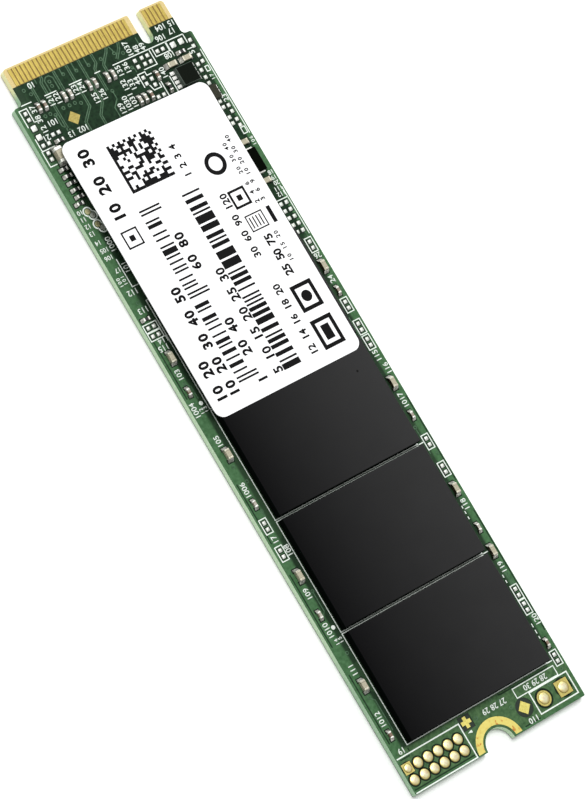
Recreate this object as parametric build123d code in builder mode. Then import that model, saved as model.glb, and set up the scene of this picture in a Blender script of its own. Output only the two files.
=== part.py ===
from build123d import *
import os

# Solid-state drive on an 80 mm by 22 mm edge-connector card.
# X runs across the card, Y along it towards the edge connector, and Z up from the resting back face.

# Card, in millimetres
board_length = 80.0
board_width = 22.0
board_thickness = 0.8
layer_thickness = 0.04
corner_radius = 0.15

# Tongue and its key slot
tongue_length = 4.0
shoulder_width = 1.075
shoulder_fillet = 0.5
shoulder_corner = 0.25
tongue_corner = 0.4
key_offset = 6.2
key_width = 1.4
key_depth = 3.5
key_corner = 0.25

# Edge contacts
contact_pitch = 0.5
contact_width = 0.35
contact_length = 1.8
contact_tip_gap = 0.2
contact_side_margin = 0.45
contact_key_margin = 0.12
mask_contact_gap = 0.05

# Mounting notch and the bare ring round it
notch_radius = 1.75
ring_gap = 0.25
ring_width = 0.8
ring_end_gap = 0.15

# Flash packages
nand_width = 18.0
nand_length = 12.0
nand_height = 0.85
nand_gap = 0.35
nand_margin = 4.62
package_chamfer = 0.06

# Solder balls under the packages
ball_height = 0.25
ball_width = 0.4
nand_ball_columns = 5
nand_ball_rows = 4
nand_ball_inset = 1.0

# Controller, in its own zone between the flash and the power parts
controller_size = 11.0
controller_height = 0.85
controller_zone = 15.0
controller_drop = 13.5
controller_ball_rows = 4
controller_ball_inset = 1.1
power_zone = 5.2

# Clock crystal beside the controller
crystal_length = 2.5
crystal_width = 2.0
crystal_base_height = 0.35
crystal_lid_height = 0.2
crystal_lid_inset = 0.15
crystal_gap = 0.8
crystal_clearance = 0.4

# Label
label_width = 18.1
label_length = 30.6
label_thickness = 0.1
label_corner = 1.0
label_shift = -0.4
label_drop = 5.3

# Regulator, inductor and load switch
power_chip_size = 2.0
power_chip_height = 0.7
power_chip_inset = 3.25
power_chip_drop = 3.95
lead_pitch = 0.5
lead_width = 0.28
lead_reach = 0.35
lead_height = 0.1
power_chip_lead_rows = 4
inductor_width = 2.0
inductor_length = 2.8
inductor_height = 1.0
inductor_terminal = 0.15
inductor_terminal_margin = 0.2
inductor_inset = 2.13
inductor_drop = 14.65
load_switch_width = 0.95
load_switch_length = 1.5
load_switch_height = 0.6
load_switch_inset = 1.58
load_switch_drop = 6.7
load_switch_lead_reach = 0.25
load_switch_lead_rows = 3

# Chip parts: small, medium and large case
small_length = 0.7
small_width = 0.35
small_height = 0.33
small_terminal = 0.17
small_fillet = 0.24
medium_length = 1.05
medium_width = 0.55
medium_height = 0.5
medium_terminal = 0.23
medium_fillet = 0.28
large_length = 1.6
large_width = 0.8
large_height = 0.75
large_terminal = 0.35
large_fillet = 0.28
terminal_skin = 0.02
fillet_rise = 0.7
fillet_flare = 0.03

# Empty pads, for a small and a medium part
small_pad = 0.4
small_pad_spacing = 0.68
medium_pad = 0.6
medium_pad_spacing = 1.0
pad_thickness = 0.03

# Soldered holes
round_sides = 10
opening_sides = 8
barrel_sides = 6
barrel_radius = 0.3
solder_rise = 0.12
solder_taper = 55.0
hole_mask_gap = 0.06
debug_pitch = 1.27
debug_columns = 6
debug_pad_radius = 0.55
debug_inset = 0.7
debug_lift = 1.31
switch_pitch = 2.54
switch_pad_radius = 0.8
switch_inset = 1.7
switch_lift = 1.75

# Fiducials and test points
fiducial_side = 1.05
fiducial_clear_radius = 1.0
fiducial_arm = 1.15
fiducial_arm_width = 0.4
fiducial_cross_clear = 1.5
tongue_fiducial_inset = 5.35
tongue_fiducial_drop = 3.15
foot_fiducial_offset = 4.3
foot_fiducial_lift = 1.95
cross_fiducial_offset = -2.2
cross_fiducial_lift = 3.55
test_point_radius = 0.3
test_point_places = ((1.3, 12.05), (1.58, 13.55))

# White print
line_width = 0.1
port_line_width = 0.13
line_thickness = 0.02
package_line_gap = 0.03
box_width = 0.92
box_length = 1.66
port_line_gap = 0.58
port_side_gap = 0.28
port_edge_gap = 0.1
switch_line_gap = 0.45

# Places worked out from the card
half_length = board_length / 2
half_width = board_width / 2
foot = -half_length
shoulder = half_length - tongue_length
tongue_half = half_width - shoulder_width
board_top = board_thickness
core_top = board_thickness - layer_thickness
contact_middle = half_length - contact_tip_gap - contact_length / 2
mask_edge = contact_middle - contact_length / 2 - mask_contact_gap
ring_inner = notch_radius + ring_gap
ring_outer = ring_inner + ring_width
package_base = board_top + ball_height
nand_top = package_base + nand_height
controller_top = package_base + controller_height

# As many flash packages as the card's length holds, counted from the mounting end
nand_pitch = nand_length + nand_gap
nand_room = shoulder - power_zone - controller_zone - foot - nand_margin
nand_first = foot + nand_margin + nand_length / 2
nand_rows = [nand_first + i * nand_pitch for i in range(int(nand_room // nand_pitch))]

# The strips between the packages and the long edges
strip_middle = (half_width + nand_width / 2) / 2


def from_left(distance):
    """X at a distance in from the left edge."""
    return -half_width + distance


def from_right(distance):
    """X at a distance in from the right edge."""
    return half_width - distance


def across(x, y):
    """A part that lies along X."""
    return Location((x, y, 0))


def along(x, y):
    """A part that lies along Y."""
    return Location((x, y, 0), (0, 0, 90))


def row_places(lie, x, shifts):
    """Places beside the flash packages, each a shift along Y from its package's middle."""
    return [lie(x, row + shift) for row, row_shifts in zip(nand_rows, shifts) for shift in row_shifts]


# Chip parts, by what they do: Y is given as a drop below the shoulders or a shift from a package's middle
lane_middles = (-8.2, -5.1, -2.05, 0.22)
lane_spacing = 0.72
lane_drop = 0.85
coupling_places = [
    along(middle + side * lane_spacing / 2, shoulder - lane_drop)
    for middle in lane_middles
    for side in (-1, 1)
]

left_filter_shifts = ((0.8,), (0.5,), (1.6,), (0.0,))
right_filter_shifts = ((6.0,), (0.7,), (0.4,), (1.4,))
right_filter_outset = 0.15
regulator_filter_insets = (4.12, 2.27)
regulator_filter_drop = 2.38
inductor_filter_inset = 1.6
inductor_filter_step = 2.2
filter_places = (
    row_places(along, -strip_middle, left_filter_shifts)
    + row_places(along, strip_middle + right_filter_outset, right_filter_shifts)
    + [across(from_right(inset), shoulder - regulator_filter_drop) for inset in regulator_filter_insets]
    + [
        across(from_right(inductor_filter_inset), shoulder - inductor_drop + side * inductor_filter_step)
        for side in (-1, 1)
    ]
)

bulk_inset = 1.65
bulk_drop = 5.95
bulk_places = [along(from_left(bulk_inset), shoulder - bulk_drop)]

left_bypass_shifts = ((-4.5,), (-3.7,), (-3.8,), (-3.7,))
right_bypass_shifts = ((-4.4,), (-3.7,), (-3.3,), (-1.4,))
bypass_outset = 0.2
power_bypass_insets = (9.25, 8.6, 7.85)
power_bypass_drop = 4.3
lane_bypass_inset = 6.1
lane_bypass_drop = 2.75
bypass_places = (
    row_places(along, -strip_middle - bypass_outset, left_bypass_shifts)
    + row_places(along, strip_middle + bypass_outset, right_bypass_shifts)
    + [along(from_right(inset), shoulder - power_bypass_drop) for inset in power_bypass_insets]
    + [along(from_right(lane_bypass_inset), shoulder - lane_bypass_drop)]
)

column_inset = 1.4
column_drop = 7.35
column_pitch = 0.76
column_count = 5
column_end_inset = 0.95
column_end_drop = 11.05
pull_up_inset = 2.65
pull_up_drop = 4.6
sense_inset = 2.35
sense_drop = 1.6
feedback_inset = 5.55
feedback_drop = 4.35
row_resistor_inset = 0.8
row_resistor_shifts = ((), (), (), (4.4,))
resistor_places = [
    across(from_left(column_inset), shoulder - column_drop - i * column_pitch) for i in range(column_count)
]
resistor_places += row_places(across, from_left(row_resistor_inset), row_resistor_shifts)
resistor_places += [
    across(from_left(column_end_inset), shoulder - column_end_drop),
    across(from_left(pull_up_inset), shoulder - pull_up_drop),
    across(from_right(sense_inset), shoulder - sense_drop),
    along(from_right(feedback_inset), shoulder - feedback_drop),
]

# Empty places, some of them with a printed box
pad_column_inset = 0.7
left_pad_inset = 0.85
inner_pad_inset = 1.35
left_pad_drops = (1.2, 5.6)
left_pair_places = ((1.12, 4.4), (2.68, 3.8))
right_pair_places = ((6.85, 4.75),)
right_pad_drops = (1.2, 2.95, 8.75, 10.35)
inner_pad_drops = (3.75, 5.25, 8.05, 9.9)
grid_inset = 1.0
grid_drop = 19.6
grid_pitch = 0.8
grid_count = 5
lane_pad_insets = (7.45, 6.6, 5.9)
zigzag_places = ((7.6, 2.72), (6.8, 3.15))
strap_inset = 4.3
strap_drop = 0.55
open_places = (
    [along(from_left(left_pad_inset), shoulder - drop) for drop in left_pad_drops]
    + [across(from_left(inset), shoulder - drop) for inset, drop in left_pair_places]
    + [across(from_right(inset), shoulder - drop) for inset, drop in right_pair_places]
    + [along(from_right(pad_column_inset), shoulder - drop) for drop in right_pad_drops]
    + [along(from_right(inner_pad_inset), shoulder - drop) for drop in inner_pad_drops]
    + [across(from_right(grid_inset), shoulder - grid_drop - i * grid_pitch) for i in range(grid_count)]
    + [along(from_right(inset), shoulder - lane_drop) for inset in lane_pad_insets]
    + [along(from_right(inset), shoulder - drop) for inset, drop in zigzag_places]
    + [across(from_right(strap_inset), shoulder - strap_drop)]
)

left_box_shifts = ((), (3.18,), (-6.17,), ())
left_pair_inset = 0.9
left_pair_shifts = ((), (), (), (2.63, 3.53))
right_box_shifts = ((-6.07, -0.32, 1.33), (2.93,), (-6.32, 5.03), (-5.57, -3.07))
right_box_drop = 24.5
boxed_places = (
    row_places(along, from_left(pad_column_inset), left_box_shifts)
    + row_places(across, from_left(left_pair_inset), left_pair_shifts)
    + row_places(along, from_right(pad_column_inset), right_box_shifts)
    + [along(from_right(pad_column_inset), shoulder - right_box_drop)]
)

left_medium_drop = 3.0
right_medium_inset = 2.2
right_medium_drop = 0.6
medium_pad_places = [
    along(from_left(left_pad_inset), shoulder - left_medium_drop),
    across(from_right(right_medium_inset), shoulder - right_medium_drop),
]

# Soldered holes at the mounting end
debug_holes = [
    (from_left(debug_inset) + column * debug_pitch, foot + debug_lift + row * debug_pitch)
    for row in range(2)
    for column in range(debug_columns)
]
debug_first = (from_left(debug_inset), foot + debug_lift + debug_pitch)
debug_round = [hole for hole in debug_holes if hole != debug_first]
switch_square = (from_right(switch_inset), foot + switch_lift)
switch_round = (from_right(switch_inset + switch_pitch), foot + switch_lift)

# Fiducials and test points
tongue_fiducial = (from_left(tongue_fiducial_inset), shoulder - tongue_fiducial_drop)
foot_fiducial = (foot_fiducial_offset, foot + foot_fiducial_lift)
cross_fiducial = (cross_fiducial_offset, foot + cross_fiducial_lift)
test_points = [(from_left(inset), shoulder - drop) for inset, drop in test_point_places]


def contact_columns(first):
    """X of the contacts of one face: every pitch across the tongue, with none beside the key slot."""
    reach = tongue_half - contact_side_margin - contact_width / 2
    keep_off = (key_width + contact_width) / 2 + contact_key_margin
    steps = range(-int((reach + first) // contact_pitch), int((reach - first) // contact_pitch) + 1)
    columns = [first + step * contact_pitch for step in steps]
    return [x for x in columns if abs(x - key_offset) > keep_off]


def contact_face(first, base):
    """The gold contacts of one face of the tongue."""
    with BuildPart() as contacts:
        with BuildSketch(Plane.XY.offset(base)):
            with Locations(*[(x, contact_middle) for x in contact_columns(first)]):
                Rectangle(contact_width, contact_length)
        extrude(amount=layer_thickness)
    return contacts.part


# Outline of the card: body and tongue with rounded corners, less the key slot and the half-round notch
with BuildSketch() as outline:
    with Locations((0, foot)):
        Rectangle(board_width, board_length - tongue_length, align=(Align.CENTER, Align.MIN))
    with Locations((0, shoulder)):
        Rectangle(2 * tongue_half, tongue_length, align=(Align.CENTER, Align.MIN))
    shoulder_corners = outline.vertices().filter_by_position(Axis.Y, shoulder, shoulder).sort_by(Axis.X)
    fillet(shoulder_corners[1:3], radius=shoulder_fillet)
    fillet(outline.vertices().group_by(Axis.X)[0].sort_by(Axis.Y)[-1], radius=shoulder_corner)
    fillet(outline.vertices().group_by(Axis.X)[-1].sort_by(Axis.Y)[-1], radius=shoulder_corner)
    fillet(outline.vertices().group_by(Axis.Y)[0], radius=corner_radius)
    fillet(outline.vertices().group_by(Axis.Y)[-1], radius=tongue_corner)
    with Locations((key_offset, half_length)):
        Rectangle(key_width, 2 * key_depth - key_width, mode=Mode.SUBTRACT)
    with Locations((key_offset, half_length - key_depth + key_width / 2)):
        Circle(key_width / 2, mode=Mode.SUBTRACT)
    slot_mouth = outline.vertices().group_by(Axis.Y)[-1].sort_by(Axis.X)
    fillet(slot_mouth[1:3], radius=key_corner)
    with Locations((0, foot)):
        Circle(notch_radius, mode=Mode.SUBTRACT)

# Half ring of bare metal round the notch
with BuildSketch() as ring:
    with Locations((0, foot)):
        Circle(ring_outer)
        Circle(ring_inner, mode=Mode.SUBTRACT)
    with Locations((0, foot + ring_end_gap)):
        Rectangle(2 * ring_outer, ring_outer, align=(Align.CENTER, Align.MIN), mode=Mode.INTERSECT)

# Openings that the mask leaves round the soldered holes, the same on both faces
debug_opening = debug_pad_radius + hole_mask_gap
switch_opening = switch_pad_radius + hole_mask_gap
flat_turn = 180 / opening_sides
with BuildSketch() as hole_openings:
    with Locations(*debug_round):
        RegularPolygon(debug_opening, opening_sides, major_radius=False, rotation=flat_turn)
    with Locations(debug_first):
        Rectangle(2 * debug_opening, 2 * debug_opening)
    with Locations(switch_round):
        RegularPolygon(switch_opening, opening_sides, major_radius=False, rotation=flat_turn)
    with Locations(switch_square):
        Rectangle(2 * switch_opening, 2 * switch_opening)

# Laminate core, with the holes for the soldered barrels
with BuildPart() as circuit_board:
    with BuildSketch(Plane.XY.offset(layer_thickness)):
        add(outline.sketch)
        with Locations(*debug_holes, switch_round, switch_square):
            RegularPolygon(barrel_radius, barrel_sides, mode=Mode.SUBTRACT)
    extrude(amount=core_top - layer_thickness)

# Solder mask on the component face
with BuildPart() as solder_mask_top:
    with BuildSketch(Plane.XY.offset(core_top)):
        add(outline.sketch)
        with Locations((0, mask_edge)):
            Rectangle(board_width, board_length, align=(Align.CENTER, Align.MIN), mode=Mode.SUBTRACT)
        add(ring.sketch, mode=Mode.SUBTRACT)
        add(hole_openings.sketch, mode=Mode.SUBTRACT)
        with Locations(foot_fiducial):
            Circle(fiducial_clear_radius, mode=Mode.SUBTRACT)
        with Locations(cross_fiducial):
            Rectangle(fiducial_cross_clear, fiducial_cross_clear, mode=Mode.SUBTRACT)
        with Locations(tongue_fiducial):
            Rectangle(fiducial_side, fiducial_side, rotation=45, mode=Mode.SUBTRACT)
    extrude(amount=layer_thickness)

# Solder mask on the plain back
with BuildPart() as solder_mask_bottom:
    with BuildSketch():
        add(outline.sketch)
        with Locations((0, mask_edge)):
            Rectangle(board_width, board_length, align=(Align.CENTER, Align.MIN), mode=Mode.SUBTRACT)
        add(ring.sketch, mode=Mode.SUBTRACT)
        add(hole_openings.sketch, mode=Mode.SUBTRACT)
    extrude(amount=layer_thickness)

with BuildPart() as mounting_ring_top:
    with BuildSketch(Plane.XY.offset(core_top)):
        add(ring.sketch)
    extrude(amount=layer_thickness)

with BuildPart() as mounting_ring_bottom:
    with BuildSketch():
        add(ring.sketch)
    extrude(amount=layer_thickness)


def soldered_holes(round_holes, square_hole, radius):
    """Filled holes: a pad on each face, a barrel between them and a solder crown on the component face."""
    with BuildPart() as holes:
        with BuildSketch():
            with Locations(*round_holes):
                RegularPolygon(radius, round_sides)
            with Locations(square_hole):
                Rectangle(2 * radius, 2 * radius)
        extrude(amount=layer_thickness)
        with BuildSketch(Plane.XY.offset(layer_thickness)):
            with Locations(*round_holes, square_hole):
                RegularPolygon(barrel_radius, barrel_sides)
        extrude(amount=core_top - layer_thickness)
        with BuildSketch(Plane.XY.offset(core_top)):
            with Locations(square_hole):
                Rectangle(2 * radius, 2 * radius)
        extrude(amount=layer_thickness)
        with BuildSketch(Plane.XY.offset(core_top)):
            with Locations(*round_holes):
                RegularPolygon(radius, round_sides)
        extrude(amount=layer_thickness + solder_rise, taper=solder_taper)
        with BuildSketch(Plane.XY.offset(board_top)):
            with Locations(square_hole):
                RegularPolygon(radius, round_sides)
        extrude(amount=solder_rise, taper=solder_taper)
    return holes.part


debug_port = soldered_holes(debug_round, debug_first, debug_pad_radius)
switch_pads = soldered_holes([switch_round], switch_square, switch_pad_radius)

with BuildPart() as fiducials:
    with BuildSketch(Plane.XY.offset(core_top)):
        with Locations(tongue_fiducial, foot_fiducial):
            Rectangle(fiducial_side, fiducial_side, rotation=45)
        with Locations(cross_fiducial):
            Rectangle(fiducial_arm, fiducial_arm_width)
            Rectangle(fiducial_arm_width, fiducial_arm)
    extrude(amount=layer_thickness)

with BuildPart() as test_point_pads:
    with BuildSketch(Plane.XY.offset(board_top)):
        with Locations(*test_points):
            RegularPolygon(test_point_radius, round_sides)
    extrude(amount=pad_thickness)

# Bare pads of the places that stay empty
with BuildPart() as empty_pads:
    with BuildSketch(Plane.XY.offset(board_top)):
        with Locations(*open_places, *boxed_places):
            with GridLocations(small_pad_spacing, 0, 2, 1):
                Rectangle(small_pad, small_pad)
        with Locations(*medium_pad_places):
            with GridLocations(medium_pad_spacing, 0, 2, 1):
                Rectangle(medium_pad, medium_pad)
    extrude(amount=pad_thickness)


def package(x, y, size_x, size_y, base, height):
    """A moulded package with a fine chamfer round its top."""
    with BuildPart() as body:
        with BuildSketch(Plane((x, y, base))):
            Rectangle(size_x, size_y)
        extrude(amount=height)
        chamfer(body.faces().sort_by(Axis.Z)[-1].edges(), length=package_chamfer)
    return body.part


nand_flash = [package(0, row, nand_width, nand_length, package_base, nand_height) for row in nand_rows]

controller_middle = shoulder - controller_drop
controller_chip = package(
    0, controller_middle, controller_size, controller_size, package_base, controller_height
)

nand_ball_pitch_x = (nand_width - 2 * nand_ball_inset - ball_width) / (nand_ball_columns - 1)
nand_ball_pitch_y = (nand_length - 2 * nand_ball_inset - ball_width) / (nand_ball_rows - 1)
with BuildPart() as nand_balls:
    with BuildSketch(Plane.XY.offset(board_top)):
        with Locations(*[(0, row) for row in nand_rows]):
            with GridLocations(nand_ball_pitch_x, nand_ball_pitch_y, nand_ball_columns, nand_ball_rows):
                Rectangle(ball_width, ball_width)
    extrude(amount=ball_height)

controller_ball_span = controller_size - 2 * controller_ball_inset - ball_width
controller_ball_pitch = controller_ball_span / (controller_ball_rows - 1)
with BuildPart() as controller_balls:
    with BuildSketch(Plane((0, controller_middle, board_top))):
        with GridLocations(
            controller_ball_pitch, controller_ball_pitch, controller_ball_rows, controller_ball_rows
        ):
            Rectangle(ball_width, ball_width)
    extrude(amount=ball_height)

# Clock crystal past the last test point, beside the controller: a ceramic base and a metal lid
crystal_x = -(controller_size / 2 + crystal_gap + crystal_width / 2)
crystal_y = test_points[-1][1] - test_point_radius - crystal_clearance - crystal_length / 2
with BuildPart() as clock_crystal_base:
    with BuildSketch(Plane((crystal_x, crystal_y, board_top))):
        Rectangle(crystal_width, crystal_length)
    extrude(amount=crystal_base_height)

with BuildPart() as clock_crystal:
    with BuildSketch(Plane((crystal_x, crystal_y, board_top + crystal_base_height))):
        Rectangle(crystal_width - 2 * crystal_lid_inset, crystal_length - 2 * crystal_lid_inset)
    extrude(amount=crystal_lid_height)

# Regulator beside the tongue
power_chip_x = from_right(power_chip_inset)
power_chip_y = shoulder - power_chip_drop
power_chip = package(
    power_chip_x, power_chip_y, power_chip_size, power_chip_size, board_top, power_chip_height
)


def leads(x, y, body_width, reach, rows):
    """Two rows of soldered leads, which stand out beside a chip's body."""
    with BuildPart() as rows_of_leads:
        with BuildSketch(Plane((x, y, board_top))):
            with GridLocations(body_width + reach, lead_pitch, 2, rows):
                Rectangle(reach, lead_width)
        extrude(amount=lead_height)
    return rows_of_leads.part


power_chip_leads = leads(power_chip_x, power_chip_y, power_chip_size, lead_reach, power_chip_lead_rows)

load_switch_x = from_right(load_switch_inset)
load_switch_y = shoulder - load_switch_drop
load_switch = package(
    load_switch_x, load_switch_y, load_switch_width, load_switch_length, board_top, load_switch_height
)
load_switch_leads = leads(
    load_switch_x, load_switch_y, load_switch_width, load_switch_lead_reach, load_switch_lead_rows
)

# Power inductor with a metal plate on each end
inductor_x = from_right(inductor_inset)
inductor_y = shoulder - inductor_drop
inductor_core = inductor_length - 2 * inductor_terminal
power_inductor = package(inductor_x, inductor_y, inductor_width, inductor_core, board_top, inductor_height)

with BuildPart() as power_inductor_terminals:
    with BuildSketch(Plane((inductor_x, inductor_y, board_top))):
        with GridLocations(0, inductor_core + inductor_terminal, 1, 2):
            Rectangle(inductor_width - 2 * inductor_terminal_margin, inductor_terminal)
    extrude(amount=inductor_height - package_chamfer - inductor_terminal_margin)


def chip_bodies(places, length, width, height, terminal):
    """The ceramic bodies of chip parts, a little slimmer than their metal ends."""
    with BuildPart() as bodies:
        with BuildSketch(Plane.XY.offset(board_top + terminal_skin)):
            with Locations(*places):
                Rectangle(length - 2 * terminal, width - 2 * terminal_skin)
        extrude(amount=height - 2 * terminal_skin)
    return bodies.part


def chip_terminals(places, length, width, height, terminal):
    """The metal ends of chip parts."""
    with BuildPart() as terminals:
        with BuildSketch(Plane.XY.offset(board_top)):
            with Locations(*places):
                with GridLocations(length - terminal, 0, 2, 1):
                    Rectangle(terminal, width)
        extrude(amount=height)
    return terminals.part


def end_fillet(length, width, height, reach):
    """The solder that climbs one end of a chip part standing at the origin."""
    with BuildPart() as wedge:
        with BuildSketch(Plane.XZ):
            with BuildLine():
                Polyline(
                    (length / 2, board_top),
                    (length / 2 + reach, board_top),
                    (length / 2, board_top + height * fillet_rise),
                    close=True,
                )
            make_face()
        extrude(amount=width / 2 + fillet_flare, both=True)
    return wedge.part


turned = Location((0, 0, 0), (0, 0, 180))
small_places = coupling_places + bypass_places + resistor_places
solder_groups = (
    (small_places, end_fillet(small_length, small_width, small_height, small_fillet)),
    (filter_places, end_fillet(medium_length, medium_width, medium_height, medium_fillet)),
    (bulk_places, end_fillet(large_length, large_width, large_height, large_fillet)),
)
with BuildPart() as solder_fillets:
    for places, wedge in solder_groups:
        with Locations(*places, *[place * turned for place in places]):
            add(wedge)

small_chip = (small_length, small_width, small_height, small_terminal)
medium_chip = (medium_length, medium_width, medium_height, medium_terminal)
large_chip = (large_length, large_width, large_height, large_terminal)

# Label, on the tallest of what it covers
label_base = max(
    nand_top,
    controller_top,
    board_top + inductor_height,
    board_top + large_height,
    board_top + crystal_base_height + crystal_lid_height,
)
label_middle = shoulder - label_drop - label_length / 2
with BuildPart() as label:
    with BuildSketch(Plane((label_shift, label_middle, label_base))):
        RectangleRounded(label_width, label_length, label_corner)
    extrude(amount=label_thickness)

# White print: outlines of the packages, the boxed pads and the soldered holes
port_left = from_left(port_edge_gap)
port_right = debug_holes[-1][0] + debug_pad_radius + port_side_gap
port_length = port_right + port_line_width - port_left
port_height = debug_pitch + 2 * (debug_pad_radius + port_line_gap)
port_middle = (debug_first[1] + debug_holes[0][1]) / 2
switch_box_length = switch_pitch + 2 * switch_pad_radius + 2 * switch_line_gap
switch_box_width = 2 * switch_pad_radius + 2 * switch_line_gap
switch_lines = 2 * port_line_width
inner_gap = 2 * package_line_gap
frame_gap = inner_gap + 2 * line_width
with BuildPart() as silkscreen_outlines:
    with BuildSketch(Plane.XY.offset(board_top)):
        with Locations(*[(0, row) for row in nand_rows]):
            Rectangle(nand_width + frame_gap, nand_length + frame_gap)
            Rectangle(nand_width + inner_gap, nand_length + inner_gap, mode=Mode.SUBTRACT)
        with Locations(*boxed_places):
            Rectangle(box_length, box_width)
            Rectangle(box_length - 2 * line_width, box_width - 2 * line_width, mode=Mode.SUBTRACT)
        with Locations((port_left, port_middle)):
            with GridLocations(0, port_height + port_line_width, 1, 2):
                Rectangle(port_length, port_line_width, align=(Align.MIN, Align.CENTER))
        with Locations((port_right, port_middle)):
            Rectangle(port_line_width, port_height, align=(Align.MIN, Align.CENTER))
        with Locations(((switch_round[0] + switch_square[0]) / 2, switch_round[1])):
            Rectangle(switch_box_length, switch_box_width)
            Rectangle(switch_box_length - switch_lines, switch_box_width - switch_lines, mode=Mode.SUBTRACT)
    extrude(amount=line_thickness)

named_parts = {
    "circuit_board": circuit_board.part,
    "solder_mask_top": solder_mask_top.part,
    "solder_mask_bottom": solder_mask_bottom.part,
    "edge_contacts_top": contact_face(contact_pitch / 2, core_top),
    "edge_contacts_bottom": contact_face(0, 0),
    "mounting_ring_top": mounting_ring_top.part,
    "mounting_ring_bottom": mounting_ring_bottom.part,
    "nand_balls": nand_balls.part,
    "controller_chip": controller_chip,
    "controller_balls": controller_balls.part,
    "clock_crystal": clock_crystal.part,
    "clock_crystal_base": clock_crystal_base.part,
    "power_chip": power_chip,
    "power_chip_leads": power_chip_leads,
    "power_inductor": power_inductor,
    "power_inductor_terminals": power_inductor_terminals.part,
    "load_switch": load_switch,
    "load_switch_leads": load_switch_leads,
    "coupling_capacitors": chip_bodies(coupling_places, *small_chip),
    "coupling_capacitor_terminals": chip_terminals(coupling_places, *small_chip),
    "filter_capacitors": chip_bodies(filter_places, *medium_chip),
    "filter_capacitor_terminals": chip_terminals(filter_places, *medium_chip),
    "bulk_capacitor": chip_bodies(bulk_places, *large_chip),
    "bulk_capacitor_terminals": chip_terminals(bulk_places, *large_chip),
    "bypass_capacitors": chip_bodies(bypass_places, *small_chip),
    "bypass_capacitor_terminals": chip_terminals(bypass_places, *small_chip),
    "chip_resistors": chip_bodies(resistor_places, *small_chip),
    "chip_resistor_terminals": chip_terminals(resistor_places, *small_chip),
    "solder_fillets": solder_fillets.part,
    "empty_pads": empty_pads.part,
    "debug_port": debug_port,
    "switch_pads": switch_pads,
    "fiducials": fiducials.part,
    "test_points": test_point_pads.part,
    "silkscreen_outlines": silkscreen_outlines.part,
    "label": label.part,
}
for number, flash in enumerate(nand_flash, start=1):
    named_parts[f"nand_flash_{number}"] = flash

os.makedirs("parts", exist_ok=True)
for name, part in named_parts.items():
    part.label = name
    export_step(part, f"parts/{name}.step")
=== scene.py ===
import math
import random

import bmesh
import bpy
from mathutils import Matrix, Quaternion, Vector


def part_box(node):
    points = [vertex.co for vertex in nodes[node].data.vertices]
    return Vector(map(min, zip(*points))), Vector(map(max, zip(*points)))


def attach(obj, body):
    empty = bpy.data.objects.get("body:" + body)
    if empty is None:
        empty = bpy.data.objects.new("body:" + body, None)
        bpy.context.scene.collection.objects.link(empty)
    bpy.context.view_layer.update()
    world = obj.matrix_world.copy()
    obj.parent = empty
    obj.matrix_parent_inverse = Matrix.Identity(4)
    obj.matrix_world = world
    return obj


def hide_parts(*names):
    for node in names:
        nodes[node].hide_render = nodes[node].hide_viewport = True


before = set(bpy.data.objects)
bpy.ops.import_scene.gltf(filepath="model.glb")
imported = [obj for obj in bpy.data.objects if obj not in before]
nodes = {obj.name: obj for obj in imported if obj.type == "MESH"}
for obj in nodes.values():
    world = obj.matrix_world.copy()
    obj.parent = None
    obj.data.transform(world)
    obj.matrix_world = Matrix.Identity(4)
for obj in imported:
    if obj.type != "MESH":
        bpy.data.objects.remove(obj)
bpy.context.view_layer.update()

# Places on the card are in millimetres: X across it, Y along it towards the edge connector
MM = 0.001
board_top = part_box("solder_mask_top")[1].z / MM
core_low, core_top = (corner.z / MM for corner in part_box("circuit_board"))
package_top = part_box("nand_flash_1")[1].z / MM
label_low, label_high = (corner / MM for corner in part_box("label"))

# Heights of what lies on the mask and on the label
clearance_height = 0.005
trace_height = 0.008
via_height = 0.012
print_height = 0.016
land_height = 0.02
ink_height = 0.004

# Lines on the card that the finishes share, and reaches past its sides and ends
strip_foot = -36.0
pad_field_low = 12.4
past_side = 11.5
past_end = 41.0

# Camera, fitted to the outline of the card
camera_place = Vector((-209.30, -38.39, 344.97)) * MM
camera_aim = Vector((-0.53, -1.25, 0.80)) * MM
camera_roll = math.radians(50.86)
camera_lens = 188.68
camera_near = 0.01


def srgb(color):
    """A screen colour, 0 to 255, as the linear colour that shaders take."""
    shares = (value / 255 for value in color)
    return (*(s / 12.92 if s <= 0.04045 else ((s + 0.055) / 1.055) ** 2.4 for s in shares), 1)


# Materials


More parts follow.
